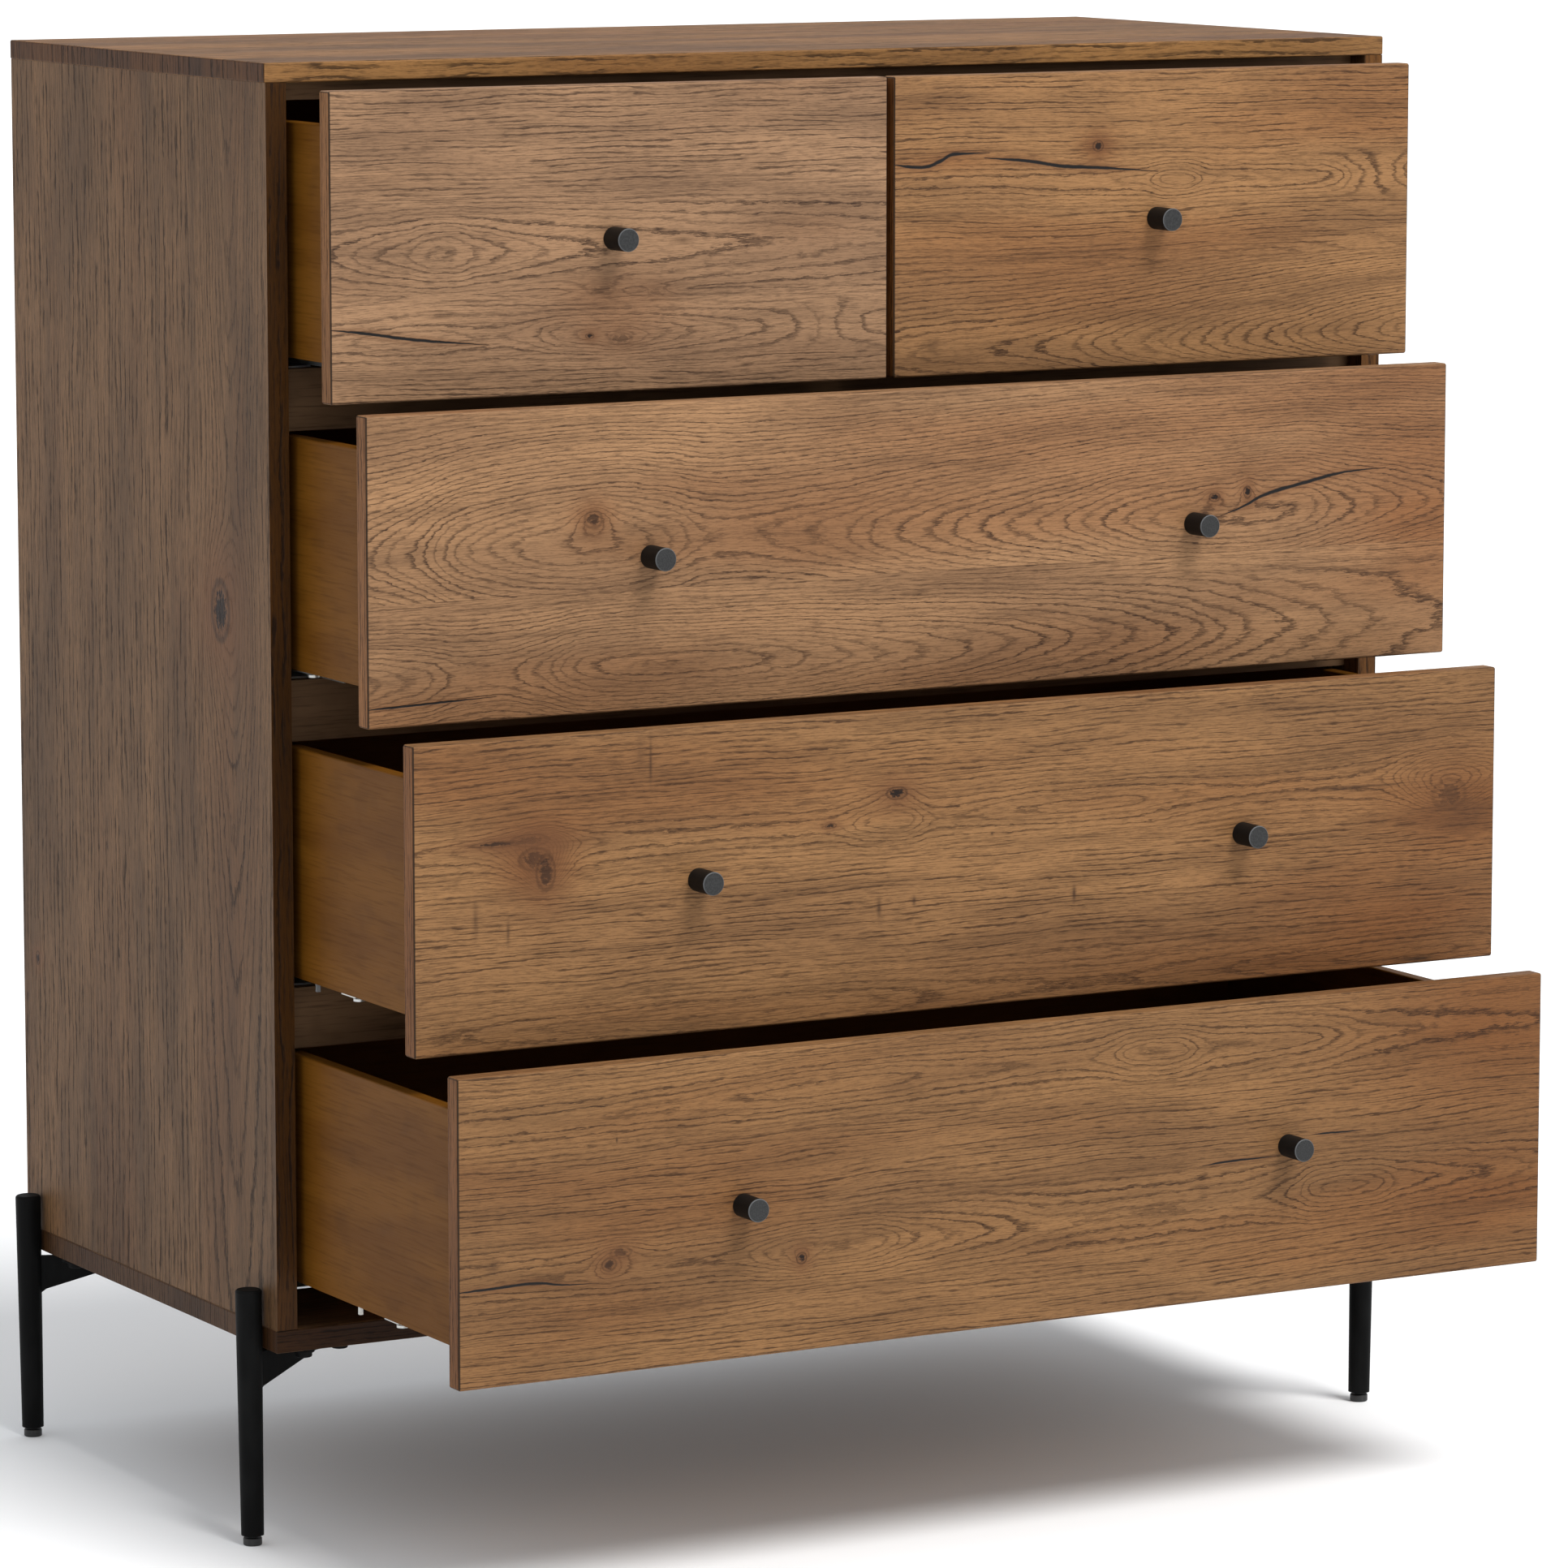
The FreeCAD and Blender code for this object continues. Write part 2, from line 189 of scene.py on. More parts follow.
def curve_through(value, points, low, high):
    """A smooth line through (value, result) points. The results lie from low to high."""
    node = value.tree.nodes.new("ShaderNodeFloatCurve")
    start, end = points[0][0], points[-1][0]
    curve = node.mapping.curves[0]
    while len(curve.points) < len(points):
        curve.points.new(0.5, 0.5)
    for point, (at, result) in zip(curve.points, points):
        point.location = ((at - start) / (end - start), (result - low) / (high - low))
        point.handle_type = "AUTO_CLAMPED"
    node.mapping.update()
    put(value.tree, (value - start) / (end - start), node.inputs["Value"])
    return Field(value.tree, node.outputs[0]) * (high - low) + low


def blend_colour(factor, first, second, mode="MIX"):
    node = factor.tree.nodes.new("ShaderNodeMix")
    node.data_type = "RGBA"
    node.blend_type = mode
    put(factor.tree, factor, node.inputs[0])
    for value, socket in ((first, node.inputs[6]), (second, node.inputs[7])):
        put(factor.tree, value if isinstance(value, Field) else (*value, 1.0), socket)
    return Field(factor.tree, node.outputs[2])


def surface(tree):
    """Place (x, y, z) on the object and its normal there."""
    node = tree.nodes.new("ShaderNodeTexCoord")
    split = []
    for name in ("Object", "Normal"):
        parts = tree.nodes.new("ShaderNodeSeparateXYZ")
        tree.links.new(node.outputs[name], parts.inputs[0])
        split.append([Field(tree, socket) for socket in parts.outputs])
    return split


def new_material(name):
    material = bpy.data.materials.new(name)
    material.use_nodes = True
    shader = material.node_tree.nodes["Principled BSDF"]
    return material, material.node_tree, shader


def set_bump(shader, height, distance):
    tree = height.tree
    bump = tree.nodes.new("ShaderNodeBump")
    bump.inputs["Distance"].default_value = distance
    bump.inputs["Strength"].default_value = 1.0
    put(tree, height, bump.inputs["Height"])
    tree.links.new(bump.outputs[0], shader.inputs["Normal"])


# ---------------------------------------------------------------- wood

X, Y, Z = 0, 1, 2
FACING = (0.65, 0.75)            # share of the normal along an axis, from not facing that way to facing it
SHIFT_ON_X, SHIFT_ON_Z = 0.31, 0.53   # how far the figure moves on other faces, so that none repeats
SEED_STEP, LEAF_STEP = 3.7, 13.0      # keep the noise of two boards, and of two leaves, apart

PLAIN_RINGS = 0.12               # how plainly the rings show away from every ridge
RING_SHAPE = (0.0, 0.07, 0.13, 0.38)  # a ring's dark line, as a plateau over the ring's width
KNOT_REACH = 2.6                 # how far out a knot bends the rings, in its own half sizes
KNOT_LIFT = 3.0                  # how far it pushes them apart, in its own half heights
PORE_ROWS = ((0.0043, 14.0, 1.0), (0.0021, 30.0, 0.6))   # pitch, dashes per metre, weight
PORE_SHAPE = (0.0, 0.12, 0.16, 0.42)  # a row's dark line, as a plateau over the pitch
GRAIN_DEPTH = 0.00030

RUSSET_TINT = (0.92, 0.74, 0.60)
KNOT_HALO = (0.130, 0.054, 0.022)
KNOT_CORE = (0.014, 0.008, 0.006)
MARK_DARK = (0.050, 0.024, 0.012)
CRACK_RESIN = (0.010, 0.009, 0.009)
ARRIS_DARK = (0.020, 0.012, 0.007)


class Oak:
    """The figure of one sheet of oak veneer: what is drawn on it, and its colours."""

    def __init__(self, seed, tones, ring=0.0045, ridges=(), knots=(), cracks=(), marks=(), stains=(),
                 seam=None, row_scale=1.0):
        self.seed = seed
        self.golden, self.brown, self.dark = tones
        self.ring = ring          # width of a growth ring where the grain runs straight
        self.ridges = ridges      # (v, half height, roundness, strength, [(u, rings), ...]): nested arches
        self.knots = knots        # (u, v, half length, half height, darkness)
        self.cracks = cracks      # lists of (u, v), with the crack's half width first
        self.marks = marks        # (u, v, half length, half height, darkness): dark smears
        self.stains = stains      # (u, v, half length, half height, strength): wide russet patches
        self.seam = seam          # v of the joint between two leaves of veneer
        self.row_scale = row_scale  # how far apart the rows of pores are


def spot(u, v, at_u, at_v, long, high):
    """Square of the distance from a place, in units of an oval's half axes."""
    along = (u - at_u) / long
    over = (v - at_v) / high
    return along * along + over * over


def falloff(distance_squared):
    return calc("EXPONENT", -distance_squared)


def facing(share):
    """1 on the faces that look along an axis, 0 on the others."""
    return smooth(share, *FACING)


def board_coordinates(tree, grain):
    """Along-grain and across-grain coordinates on whichever face of the board this is."""
    (x, y, z), normal = surface(tree)
    on_face = [facing(abs(share)) for share in normal]
    if grain == "x":
        u = mixed(on_face[X], x, z)
        v = mixed(largest(on_face[X], on_face[Z]), z, y)
    elif grain == "z":
        u = mixed(on_face[Z], z, y)
        v = mixed(on_face[X], x, y)
    else:
        u = y
        v = mixed(on_face[X], x, z)
    return u, v, normal, on_face


def growth(u, v, oak, w, upper_leaf):
    """Count of growth rings, how plainly they show, and the height that the grain follows.

    The rings run straight along the grain, counted outwards from each ridge. Where a ridge swells along u
    the rings close round it: they arch away from the swelling, or become ovals at its top.
    """
    wander = sway(u, v, w, 1.8, 7.0, 0.020) + sway(u, v, w + 1.3, 7.0, 30.0, 0.0065)
    ragged = sway(u, v, w + 1.7, 30.0, 75.0, 0.75)
    height = v + wander
    if not oak.ridges:
        return height / oak.ring, 0.0 * u + PLAIN_RINGS, height
    distance = 10.0
    swelling = 0.0 * u
    shown = 0.0 * u
    for at_v, half_height, roundness, strength, points in oak.ridges:
        across = height - at_v
        away = calc("SQRT", across * across + roundness ** 2)
        near = falloff(across * across / half_height ** 2)
        if oak.seam:
            this_leaf = upper_leaf if at_v > oak.seam else 1.0 - upper_leaf
            near = near * this_leaf
            away = away + (1.0 - this_leaf)
        rings = [count for _, count in points]
        swelling = swelling + near * curve_through(u, points, min(rings) - 1.0, max(rings) + 1.0)
        shown = shown + smooth(near, 0.02, 0.55) * strength
        distance = calc("MINIMUM", distance, away)
    for at_u, at_v, long, high, _ in oak.knots:
        near = falloff(spot(u, v, at_u, at_v, long * KNOT_REACH, high * KNOT_REACH))
        swelling = swelling + near * (high * KNOT_LIFT / oak.ring)
    shown = clipped(shown + PLAIN_RINGS)
    return distance / oak.ring - swelling + ragged * shown, shown, height


def pore_rows(u, v, w, scale):
    """Rows of open pores: thin dark lines along the grain, a few millimetres apart, broken into dashes."""
    total = 0.0 * u
    for narrowest, dashes, weight in PORE_ROWS:
        pitch = narrowest * scale
        bend = sway(u, v, w + 14.0 + pitch, 9.0, 60.0, 1.8)
        frayed = sway(u, v, w + 15.0 + pitch, 90.0, 600.0, 0.7, detail=3.0)
        rows = v / pitch + bend + frayed
        line = plateau(calc("FRACT", rows), *PORE_SHAPE)
        broken = noise(u * dashes, calc("FLOOR", rows) * 7.3, w + 16.0 + pitch, detail=3.0, rough=0.6)
        total = total + line * smooth(broken, 0.41, 0.57) * weight
    return clipped(total)


def crack_mask(u, v, half_width, points, w):
    """Dark resin-filled crack along a smooth line, narrow at both ends."""
    heights = [height for _, height in points]
    line = curve_through(u, points, min(heights) - 0.002, max(heights) + 0.002)
    start, end = points[0][0], points[-1][0]
    length = end - start
    taper = plateau(u, start, start + 0.25 * length, end - 0.45 * length, end)
    inside = plateau(u, start - 0.001, start + 0.001, end - 0.001, end + 0.001)
    ragged = noise(u * 60.0, 0.0 * u, w, detail=3.0) * 0.7 + 0.65
    drift = sway(u, v, w + 4.0, 110.0, 30.0, 0.0011, detail=3.0)
    width = (taper * 0.85 + 0.15) * ragged * half_width
    return inside * (1.0 - smooth(abs(v - line + drift) / width, 0.55, 1.35))


def oak_lines(u, v, w, oak, upper_leaf):
    """How dark the growth rings and the rows of pores are, and the height that the grain follows."""
    count, shown, flow = growth(u, v, oak, w, upper_leaf)
    jitter = sway(u, flow, w + 2.1, 75.0, 420.0, 1.0, detail=4.0, rough=0.65)
    rings = count + jitter + noise(count * 0.4, 0.0 * u, w + 5.0) * 1.4
    line = plateau(calc("FRACT", rings), *RING_SHAPE)
    ring_dark = line * (per_ring(rings) * 0.5 + 0.5) * shown
    row_dark = pore_rows(u, flow, w, oak.row_scale) * (1.0 - shown * 0.7)
    return ring_dark, row_dark, flow


def oak_ground(u, v, flow, w, oak):
    """The colour under the lines: golden and brown clouds, russet patches and darker streaks."""
    cloud = noise(u * 2.6, flow * 13.0, w + 6.0, detail=3.0, rough=0.55)
    streak = noise(u * 6.0, flow * 60.0, w + 6.5, detail=3.0, rough=0.6)
    colour = blend_colour(smooth(cloud, 0.38, 0.66), oak.golden, oak.brown)
    russet = tuple(channel * tint for channel, tint in zip(oak.brown, RUSSET_TINT))
    redder = smooth(noise(u * 1.7, flow * 9.0, w + 7.5), 0.48, 0.70) * 0.55
    for at_u, at_v, long, high, strength in oak.stains:
        redder = redder + falloff(spot(u, v, at_u, at_v, long, high) + (cloud - 0.5) * 1.2) * strength
    colour = blend_colour(clipped(redder), colour, russet)
    return blend_colour(smooth(streak, 0.40, 0.72) * 0.26, colour, oak.dark)


def oak_features(u, v, w, oak, here, colour, relief):
    """Knots, smears and cracks, drawn over the grain."""
    ragged = sway(u, v, w + 9.0, 210.0, 340.0, 3.4, detail=4.0, rough=0.65)
    for at_u, at_v, long, high, darkness in oak.knots:
        distance = spot(u, v, at_u, at_v, long, high)
        halo = falloff(spot(u, v, at_u, at_v, long * 2.8, high * 3.4) + ragged * 0.35)
        colour = blend_colour(clipped(halo * here * (0.75 * darkness)), colour, KNOT_HALO)
        band = 1.0 - smooth(abs(distance - 1.6 + ragged * 0.35), 0.10, 0.75)
        colour = blend_colour(band * here * (0.55 * darkness), colour, oak.dark)
        core = (1.0 - smooth(distance + ragged, 0.20, 1.05)) * here
        colour = blend_colour(core * darkness, colour, KNOT_CORE)
        relief = relief - core * 0.6
    for at_u, at_v, long, high, darkness in oak.marks:
        torn = noise(u * 150.0, v * 70.0, w + 11.0, detail=3.0) * 1.1
        smear = falloff(spot(u, v, at_u, at_v, long, high) + torn)
        colour = blend_colour(clipped(smear * here * darkness), colour, MARK_DARK)
    for number, (half_width, *points) in enumerate(oak.cracks):
        stain = crack_mask(u, v, half_width * 3.5, points, w + number) * here
        colour = blend_colour(stain * 0.35, colour, KNOT_HALO)
        crack = crack_mask(u, v, half_width, points, w + number) * here
        colour = blend_colour(crack, colour, CRACK_RESIN)
        relief = relief - crack
    return colour, relief


def oak_material(name, grain, oak, figure_face=None, edge_tone=None, face_tone=None, dark_arris=0.0):
    """Open-grained oak veneer.

    figure_face is the outward normal (axis, sign) of the face with the features. edge_tone tints the faces
    that look along x, face_tone those that look along y, and dark_arris is how dark the rounded edges
    between them are.
    """
    material, tree, shader = new_material(name)
    u, v, normal, on_face = board_coordinates(tree, grain)
    upper_leaf = calc("GREATER_THAN", v, oak.seam) if oak.seam else 0.0
    w = upper_leaf * LEAF_STEP + oak.seed * SEED_STEP
    shifted = v if figure_face and figure_face[0] == X else v + on_face[X] * SHIFT_ON_X
    shifted = shifted + on_face[Z] * SHIFT_ON_Z
    ring_dark, row_dark, flow = oak_lines(u, shifted, w, oak, upper_leaf)
    fine = smooth(noise(u * 100.0, flow * 1300.0, w + 3.5, detail=3.0, rough=0.65), 0.50, 0.60)
    colour = oak_ground(u, v, flow, w, oak)
    colour = blend_colour(fine * 0.34, colour, oak.dark)
    colour = blend_colour(row_dark * 0.85, colour, oak.dark)
    colour = blend_colour(ring_dark * (fine * 0.3 + 0.7), colour, oak.dark)
    relief = row_dark * -0.5 + ring_dark * -0.5
    if figure_face:
        axis, sign = figure_face
        colour, relief = oak_features(u, v, w, oak, facing(normal[axis] * sign), colour, relief)
    for axis, tone in ((X, edge_tone), (Y, face_tone)):
        if tone:
            colour = blend_colour(on_face[axis], colour, tone, "MULTIPLY")
    if dark_arris:
        arris = plateau(abs(normal[X]), 0.25, 0.5, 0.9, 0.97) * (1.0 - on_face[Z])
        colour = blend_colour(arris * dark_arris, colour, ARRIS_DARK)
    tree.links.new(colour.socket, shader.inputs["Base Color"])
    put(tree, 0.54 + row_dark * 0.14 + ring_dark * 0.08, shader.inputs["Roughness"])
    shader.inputs["Specular IOR Level"].default_value = 0.15
    set_bump(shader, relief, GRAIN_DEPTH)
    return material


# golden wood, brown wood, dark lines
FRONT_TONES = ((0.398, 0.212, 0.095), (0.298, 0.157, 0.072), (0.038, 0.017, 0.009))


def front_tones(golden=1.0, grey=0.0):
    """The fronts' colours, brightened by golden and greyed by grey."""
    tones = []
    for tone in FRONT_TONES:
        mean = sum(tone) / 3
        tones.append(tuple(golden * (channel + grey * (mean - channel)) for channel in tone))
    return tones


def veneer(piece, seed, tones, ridges=(), knots=(), cracks=(), marks=(), stains=(), ring=0.0045, seam=None):
    """A front's veneer, with its features given in shares of the front's width and height."""
    low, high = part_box(piece)
    width, height = high.x - low.x, high.z - low.z

    def placed(rows):
        return [(low.x + across * width, low.z + up * height, *rest) for across, up, *rest in rows]

    lines = [[half_width, *placed(points)] for half_width, *points in cracks]
    joint = low.z + seam * height if seam else None
    arches = []
    for up, half_height, roundness, strength, *swelling in ridges:
        points = [(low.x + across * width, rings) for across, rings in swelling]
        arches.append((low.z + up * height, half_height, roundness, strength, points))
    return Oak(seed, tones, ring, arches, placed(knots), lines, placed(marks), placed(stains), joint)


def front_veneers():
    """What is drawn on each front, with places as (across, up) in shares of the front.

    A ridge is its height up, half height, roundness and strength, then (across, rings) along it. A knot,
    mark or stain is its place, half length, half height and strength, and a crack its half width and places.
    """
    return {
        "top_left_drawer": veneer(
            "top_left_drawer_front", 1, front_tones(0.94, 0.15), ring=0.0066,
            ridges=[(0.465, 0.033, 0.008, 1.0, (-0.02, -0.2), (0.026, 0.7), (0.08, 1.7), (0.135, 2.7),
                     (0.195, 3.7), (0.255, 2.7), (0.317, 1.7), (0.40, 0.7), (0.59, -0.4), (0.78, -1.3),
                     (1.0, -2.2)),
                    (0.19, 0.017, 0.006, 0.75, (-0.02, 0.0), (0.16, 1.2), (0.28, 0.4), (0.46, 3.4),
                     (0.55, 3.0), (0.65, 1.4), (0.80, -0.6), (0.86, -2.2), (0.93, -4.0), (1.02, -5.4))],
            knots=[(0.475, 0.335, 0.010, 0.0035, 0.35), (0.51, 0.172, 0.008, 0.0040, 0.42),
                   (0.455, 0.186, 0.0030, 0.0018, 0.95), (0.575, 0.32, 0.006, 0.003, 0.25)],
            marks=[(0.62, 0.485, 0.009, 0.0028, 0.9), (0.195, 0.27, 0.012, 0.002, 0.9)],
            stains=[(0.50, 0.27, 0.06, 0.030, 0.5)],
            cracks=[[0.0013, (-0.01, 0.243), (0.05, 0.228), (0.15, 0.197), (0.276, 0.171)]]),
        "top_right_drawer": veneer(
            "top_right_drawer_front", 2, front_tones(0.83, -0.06), ring=0.0046,
            ridges=[(0.095, 0.062, 0.016, 1.0, (-0.02, -0.5), (0.06, 0.6), (0.24, 1.6), (0.31, 2.6),
                     (0.41, 4.6), (0.54, 7.6), (0.75, 13.0), (0.96, 18.6), (1.02, 19.6)),
                    (0.635, 0.018, 0.005, 0.85, (-0.02, 0.0), (0.30, 0.2), (0.47, 1.0), (0.54, 3.0),
                     (0.61, 0.8), (0.72, 0.6), (0.82, 0.0), (0.90, -3.0), (1.02, -7.5))],
            knots=[(0.387, 0.75, 0.0040, 0.0036, 0.95)],
            marks=[(0.07, 0.10, 0.008, 0.006, 0.8), (0.92, 0.695, 0.008, 0.0016, 1.0)],
            stains=[(0.10, 0.715, 0.07, 0.010, 0.6), (0.387, 0.75, 0.020, 0.014, 0.7)],
            cracks=[[0.0016, (-0.01, 0.712), (0.05, 0.698), (0.085, 0.714), (0.12, 0.738), (0.18, 0.738)],
                    [0.0016, (0.17, 0.722), (0.26, 0.705), (0.31, 0.688), (0.40, 0.675), (0.504, 0.658)]]),
        "upper_drawer": veneer(
            "upper_drawer_front", 3, front_tones(0.93, 0.06), ring=0.0050, seam=0.395,
            ridges=[(0.54, 0.100, 0.026, 1.0, (-0.02, -0.6), (0.03, 2.2), (0.115, 9.0), (0.20, 10.8),
                     (0.26, 9.0), (0.32, 6.6), (0.38, 7.4), (0.48, 11.0), (0.62, 16.4), (0.75, 21.5),
                     (0.82, 22.0), (0.90, 19.0), (1.02, 14.0)),
                    (0.134, 0.046, 0.014, 1.0, (-0.02, 7.4), (0.045, 5.0), (0.10, 2.8), (0.145, 4.4),
                     (0.21, 8.6), (0.27, 9.0), (0.45, 5.6), (0.65, 0.0), (0.90, -8.0), (1.02, -10.0))],
            knots=[(0.197, 0.632, 0.0062, 0.0055, 0.72), (0.772, 0.585, 0.0042, 0.0028, 1.0),
                   (0.804, 0.596, 0.0030, 0.0040, 1.0)],
            stains=[(0.99, 0.60, 0.09, 0.090, 0.8), (0.197, 0.64, 0.020, 0.014, 0.7)],
            cracks=[[0.0016, (0.778, 0.520), (0.80, 0.548), (0.82, 0.582), (0.86, 0.617),
                     (0.90, 0.645), (0.94, 0.652)],
                    [0.0009, (-0.01, 0.062), (0.05, 0.070), (0.111, 0.078)]]),
        # The golden factor of front_tones is smaller on the middle and lower fronts: partly their own tone,
        # partly painted shade that darkens the fronts towards the bottom of the chest.
        "middle_drawer": veneer(
            "middle_drawer_front", 4, front_tones(0.72, -0.07), ring=0.0052,
            ridges=[(0.645, 0.024, 0.006, 0.75, (-0.02, 0.0), (0.10, 1.0), (0.22, 0.4), (0.36, 0.4),
                     (0.425, 3.4), (0.47, 0.8), (0.53, 1.6), (0.61, 2.2), (0.76, 0.2), (0.88, 0.6),
                     (0.955, 4.2), (1.02, 2.6)),
                    (0.05, 0.024, 0.008, 0.60, (-0.02, 0.0), (0.30, 2.0), (0.60, -1.0), (0.92, 2.4),
                     (1.02, 0.0))],
            knots=[(0.100, 0.672, 0.0130, 0.0038, 1.0), (0.072, 0.668, 0.0180, 0.0018, 0.9),
                   (0.105, 0.610, 0.0110, 0.0070, 0.8), (0.114, 0.565, 0.0065, 0.0110, 0.7),
                   (0.427, 0.730, 0.0075, 0.0040, 1.0), (0.955, 0.575, 0.0130, 0.0100, 0.45),
                   (0.367, 0.640, 0.0040, 0.0016, 0.9)],
            marks=[(0.206, 0.90, 0.0013, 0.016, 1.5), (0.197, 0.93, 0.0050, 0.012, 0.6),
                   (0.053, 0.43, 0.0022, 0.013, 1.1), (0.081, 0.38, 0.0016, 0.009, 1.1),
                   (0.411, 0.355, 0.0020, 0.0075, 1.5), (0.443, 0.370, 0.0018, 0.0040, 1.3),
                   (0.592, 0.345, 0.0018, 0.0065, 1.6), (0.345, 0.72, 0.010, 0.0022, 0.8),
                   (0.515, 0.570, 0.0014, 0.0012, 1.5), (0.86, 0.625, 0.045, 0.0016, 1.2),
                   (0.925, 0.015, 0.016, 0.0016, 1.8), (0.975, 0.50, 0.030, 0.016, 0.6)],
            stains=[(0.97, 0.50, 0.10, 0.060, 0.9), (0.80, 0.06, 0.30, 0.040, 0.8),
                    (0.105, 0.60, 0.035, 0.030, 0.9), (0.01, 0.95, 0.10, 0.030, 0.5)]),
        "lower_drawer": veneer(
            "lower_drawer_front", 5, front_tones(0.65, -0.08), ring=0.0052,
            ridges=[(0.85, 0.024, 0.005, 0.85, (-0.02, 0.0), (0.15, 0.6), (0.34, 2.2), (0.45, 1.0),
                     (0.54, 0.4), (0.585, 1.6), (0.625, 3.4), (0.68, 0.8), (0.76, 0.2), (0.84, -3.0),
                     (1.02, -4.5)),
                    (0.345, 0.028, 0.008, 0.90, (-0.02, 0.4), (0.12, 1.6), (0.24, 2.6), (0.31, 5.2),
                     (0.40, 2.4), (0.47, 0.2), (0.58, -2.0), (0.70, -1.6), (0.76, 0.6), (0.807, 3.4),
                     (0.86, 1.0), (1.02, -2.6))],
            stains=[(0.96, 0.85, 0.14, 0.090, 1.0), (0.99, 0.20, 0.12, 0.060, 0.5)],
            knots=[(0.300, 0.305, 0.0036, 0.0036, 1.0), (0.140, 0.390, 0.0075, 0.0036, 0.65),
                   (0.130, 0.355, 0.0050, 0.0040, 0.75)],
            marks=[(0.030, 0.39, 0.006, 0.005, 0.9), (0.137, 0.755, 0.0010, 0.0022, 1.5),
                   (0.385, 0.835, 0.012, 0.004, 0.5)],
            cracks=[[0.0011, (-0.01, 0.316), (0.03, 0.320), (0.06, 0.322), (0.09, 0.306), (0.121, 0.298)],
                    [0.0009, (0.67, 0.462), (0.70, 0.468), (0.745, 0.468)],
                    [0.0008, (0.775, 0.528), (0.80, 0.526), (0.828, 0.524)]]),
    }


# golden wood, brown wood, dark lines. The case tones are darker and greyer than the fronts': partly the
# case's own tone, partly painted shade with the cool cast of the fill light on its sides.
SHADED_CASE_TONES = ((0.166, 0.087, 0.038), (0.106, 0.055, 0.024), (0.016, 0.008, 0.004))
TOP_TONES = ((0.262, 0.120, 0.035), (0.148, 0.067, 0.021), (0.018, 0.008, 0.003))
SIDE_RING, SIDE_ROWS = 0.0095, 1.9
TOP_RING, TOP_ROWS = 0.0070, 2.4


def side_figure():
    """The left side's veneer, with one knot in a tall arch near its front edge."""
    low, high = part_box("side_panel_left")
    arch = [(low.z - 0.01, -4.0), (0.45, -1.0), (0.62, 1.6), (0.76, 4.6), (0.88, 2.4), (1.02, 4.6),
            (high.z + 0.01, 7.0)]
    return Oak(
        7, SHADED_CASE_TONES, SIDE_RING, row_scale=SIDE_ROWS,
        ridges=[(low.y + 0.072, 0.055, 0.014, 1.0, arch)],
        knots=[(0.764, low.y + 0.095, 0.0190, 0.0130, 1.0), (0.422, low.y + 0.478, 0.0045, 0.0035, 0.9)])


def oak_case():
    """Veneers of the case, greyer and darker than the fronts: partly their own tone, partly painted shade
    with the cool cast of the fill light on the sides.
    """
    right = Oak(8, SHADED_CASE_TONES, SIDE_RING, row_scale=SIDE_ROWS)
    top = Oak(9, TOP_TONES, TOP_RING, row_scale=TOP_ROWS)
    bottom = Oak(10, SHADED_CASE_TONES)
    return {
        # face_tone darkens the left side's front edge: a dark edge band and painted shade where the open
        # fronts shadow it
        "side_panel_left": oak_material(
            "oak_side_left", "z", side_figure(), (X, -1), face_tone=(0.34, 0.23, 0.05)),
        "side_panel_right": oak_material("oak_side_right", "z", right, face_tone=(0.98, 0.74, 0.34)),
        "top_board": oak_material(
            "oak_top", "x", top, edge_tone=(0.33, 0.26, 0.17), face_tone=(1.34, 1.45, 1.69)),
        # face_tone darkens the bottom board's front edge: a dark edge band and painted shade under the
        # lowest front
        "bottom_board": oak_material(
            "oak_bottom", "x", bottom, edge_tone=(0.42, 0.34, 0.24), face_tone=(0.22, 0.14, 0.02)),
    }


# pale wood, brown wood
FRAME_TONES = ((0.20, 0.115, 0.060), (0.14, 0.080, 0.042))
AMBER_TONES = ((0.135, 0.052, 0.005), (0.105, 0.038, 0.003))
PLY_TONES = ((0.30, 0.165, 0.075), (0.25, 0.130, 0.055))
BACK_TONES = ((0.23, 0.140, 0.080), (0.17, 0.100, 0.055))


def stained_wood(name, grain, tones, seed, roughness, contrast):
    """Smooth stained secondary wood, with a faint grain."""
    material, tree, shader = new_material(name)
    pale, brown = tones
    u, v, _, on_face = board_coordinates(tree, grain)
    v = v + on_face[Z] * 0.4
    cloud = noise(u * 5.0, v * 24.0, seed, detail=3.0)
    grain_lines = noise(u * 18.0, v * 420.0, seed + 2.0, detail=3.0, rough=0.6)
    blotch = noise(u * 26.0, v * 40.0, seed + 4.0, detail=2.0)
    colour = blend_colour(smooth(cloud, 0.35, 0.65), pale, brown)
    darker = tuple(channel * 0.45 for channel in brown)
    colour = blend_colour(smooth(grain_lines, 0.48, 0.70) * contrast, colour, darker)
    colour = blend_colour(smooth(blotch, 0.50, 0.75) * (contrast * 0.6), colour, darker)
    tree.links.new(colour.socket, shader.inputs["Base Color"])
    put(tree, grain_lines * 0.18 + (roughness - 0.09), shader.inputs["Roughness"])
    shader.inputs["Specular IOR Level"].default_value = 0.08
    set_bump(shader, grain_lines * -1.0, 0.00012)
    return material


# ---------------------------------------------------------------- metal and plastic

def powder_coat(name, colour, roughness):
    """Matte black powder coat: a fine orange-peel skin."""
    material, tree, shader = new_material(name)
    (x, y, z), _ = surface(tree)
    grain = noise(x * 2600.0, y * 2600.0, z * 2600.0, detail=2.0)
    patch = noise(x * 60.0, y * 60.0, z * 25.0, detail=2.0)
    lighter = tuple(channel * 1.9 for channel in colour)
    tone = blend_colour(smooth(patch, 0.35, 0.75), colour, lighter)
    tree.links.new(tone.socket, shader.inputs["Base Color"])
    put(tree, patch * 0.16 + (roughness - 0.08), shader.inputs["Roughness"])
    shader.inputs["Specular IOR Level"].default_value = 0.06
    set_bump(shader, grain, 0.00006)
    return material


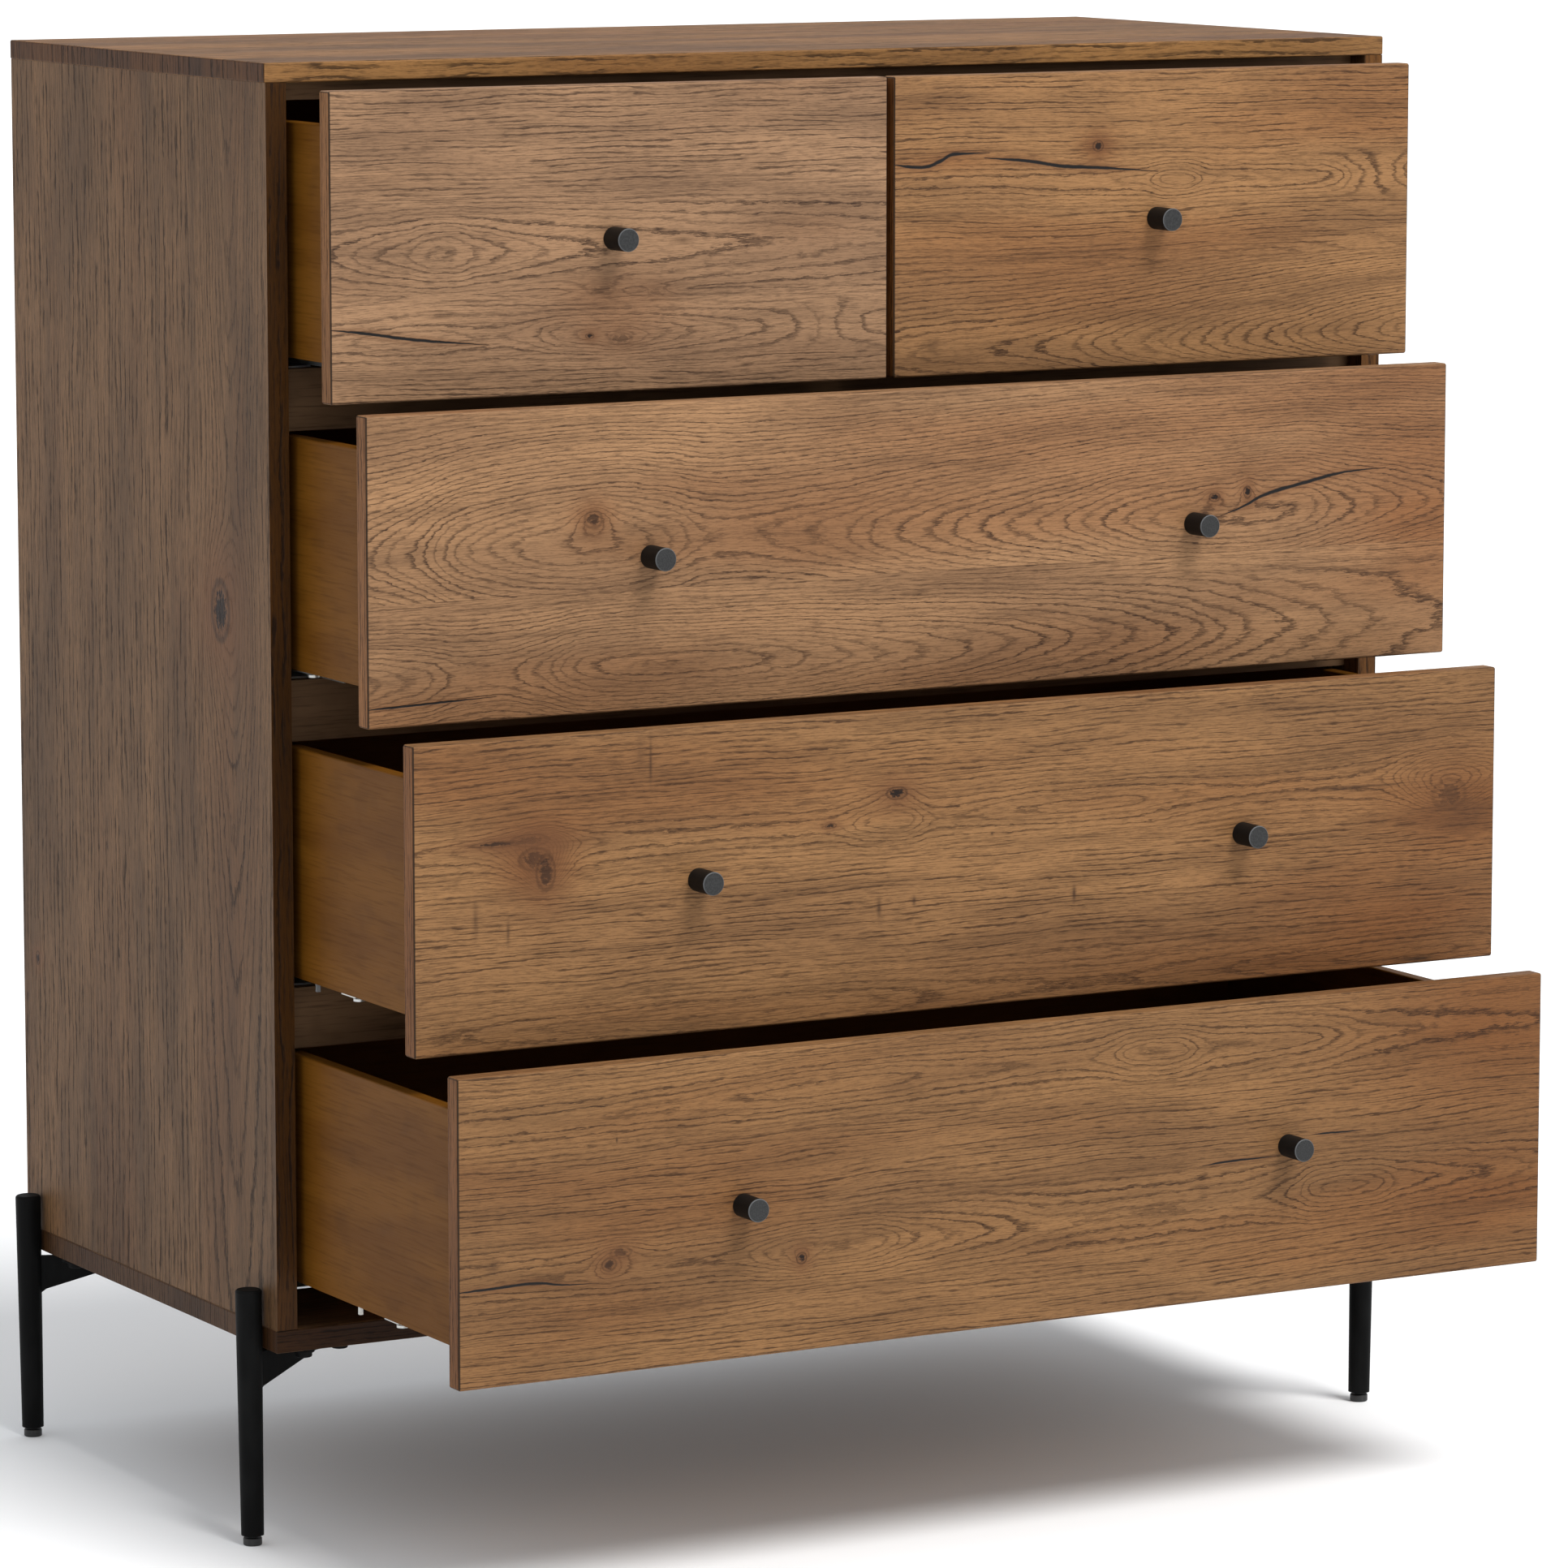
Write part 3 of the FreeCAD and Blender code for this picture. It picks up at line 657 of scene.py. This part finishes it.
def knob_finish():
    """Satin black turned knob, with a painted reflection that lightens its face to slate grey and a painted
    highlight on the rim of its chamfer.
    """
    material, tree, shader = new_material("knob_satin_black")
    (x, y, z), (_, ny, _) = surface(tree)
    face = smooth(-ny, 0.93, 0.99)
    painted_rim_highlight = plateau(-ny, 0.25, 0.45, 0.88, 0.96)
    speckle = noise(x * 900.0, y * 900.0, z * 900.0, detail=3.0)
    tone = blend_colour(smooth(speckle, 0.35, 0.70), (0.004, 0.004, 0.004), (0.008, 0.008, 0.008))
    # painted reflection: the knob's face is made a lighter slate grey, as if the lamp and sky shone in it
    painted_face_reflection = blend_colour(smooth(speckle, 0.30, 0.72), (0.026, 0.0265, 0.027), (0.042, 0.0425, 0.043))
    tone = blend_colour(face, tone, painted_face_reflection)
    # painted highlight: a lighter grey ring on the chamfer round the face
    tone = blend_colour(painted_rim_highlight * 0.8, tone, (0.12, 0.125, 0.13))
    tree.links.new(tone.socket, shader.inputs["Base Color"])
    put(tree, speckle * 0.2 + 0.40, shader.inputs["Roughness"])
    shader.inputs["Specular IOR Level"].default_value = 0.12
    set_bump(shader, speckle, 0.00005)
    return material


def zinc_steel():
    """Zinc-plated sheet: brushed lengthwise, with faint bluish and yellow patches."""
    material, tree, shader = new_material("zinc_plated_steel")
    (x, y, z), _ = surface(tree)
    brushed = noise(x * 900.0, y * 14.0, z * 900.0, detail=3.0)
    patch = noise(x * 40.0, y * 20.0, z * 40.0, detail=2.0)
    tone = blend_colour(smooth(patch, 0.35, 0.65), (0.50, 0.52, 0.54), (0.58, 0.57, 0.52))
    tone = blend_colour(smooth(brushed, 0.4, 0.75) * 0.35, tone, (0.32, 0.33, 0.34))
    tree.links.new(tone.socket, shader.inputs["Base Color"])
    shader.inputs["Metallic"].default_value = 0.9
    put(tree, brushed * 0.22 + 0.26, shader.inputs["Roughness"])
    set_bump(shader, brushed, 0.00004)
    return material


def nylon():
    """Moulded black nylon of the feet."""
    material, tree, shader = new_material("black_nylon")
    (x, y, z), _ = surface(tree)
    grain = noise(x * 1800.0, y * 1800.0, z * 1800.0, detail=2.0)
    scuff = noise(x * 300.0, y * 300.0, z * 90.0, detail=3.0)
    tone = blend_colour(smooth(scuff, 0.5, 0.8), (0.012, 0.012, 0.012), (0.030, 0.029, 0.027))
    tree.links.new(tone.socket, shader.inputs["Base Color"])
    put(tree, scuff * 0.2 + 0.42, shader.inputs["Roughness"])
    set_bump(shader, grain, 0.00005)
    return material


def floor_material():
    material, tree, shader = new_material("studio_floor")
    (x, y, _), _ = surface(tree)
    paler = tuple(channel + 0.01 for channel in FLOOR_WHITE)
    tone = blend_colour(noise(x * 0.7, y * 0.7), FLOOR_WHITE, paler)
    tree.links.new(tone.socket, shader.inputs["Base Color"])
    shader.inputs["Roughness"].default_value = 0.9
    shader.inputs["Specular IOR Level"].default_value = 0.1
    return material


def make_floor():
    half = FLOOR_SIZE / 2
    mesh = bpy.data.meshes.new("floor")
    corners = [(-half, -half, 0), (half, -half, 0), (half, half, 0), (-half, half, 0)]
    mesh.from_pydata(corners, [], [(0, 1, 2, 3)])
    floor = bpy.data.objects.new("floor", mesh)
    mesh.materials.append(floor_material())
    bpy.context.scene.collection.objects.link(floor)


# ---------------------------------------------------------------- finishes on the CAD nodes

FRONT_EDGE_TONE = (0.70, 0.54, 0.36)
FRONT_ARRIS = 0.9


def finish_nodes():
    by_name = oak_case()
    for drawer, figure in front_veneers().items():
        by_name[drawer + "_front"] = oak_material(
            "oak_" + drawer, "x", figure, (Y, -1), edge_tone=FRONT_EDGE_TONE, dark_arris=FRONT_ARRIS)
    frame_wood = stained_wood("frame_wood", "x", FRAME_TONES, 21.0, 0.55, 0.6)
    by_name["partition"] = stained_wood("partition_wood", "z", FRAME_TONES, 23.0, 0.55, 0.6)
    by_name["back_panel"] = stained_wood("back_board", "z", BACK_TONES, 31.0, 0.6, 0.5)
    by_name["leg_bolts"] = powder_coat("black_oxide", (0.006, 0.006, 0.006), 0.48)
    by_start = {
        "rail_over_": frame_wood,
        "leg_": powder_coat("black_powder_coat", (0.0035, 0.0036, 0.0036), 0.56),
        "glide_": nylon(),
    }
    zinc = zinc_steel()
    by_ending = {
        "_rail": frame_wood,
        "_box_sides": stained_wood("box_amber", "y", AMBER_TONES, 25.0, 0.52, 0.35),
        "_box_ends": stained_wood("box_end_amber", "x", AMBER_TONES, 27.0, 0.52, 0.35),
        "drawer_bottom": stained_wood("box_bottom_ply", "x", PLY_TONES, 29.0, 0.5, 0.4),
        "_knobs": knob_finish(),
        "_hardware": zinc,
        "_slide_middle": zinc,
        "_slide_case": zinc,
    }

    def finish_of(name):
        if name in by_name:
            return by_name[name]
        for start, material in by_start.items():
            if name.startswith(start):
                return material
        return next(material for ending, material in by_ending.items() if name.endswith(ending))

    for name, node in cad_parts.items():
        node.data.materials.clear()
        node.data.materials.append(finish_of(name))


make_camera()
make_light()
make_floor()
finish_nodes()
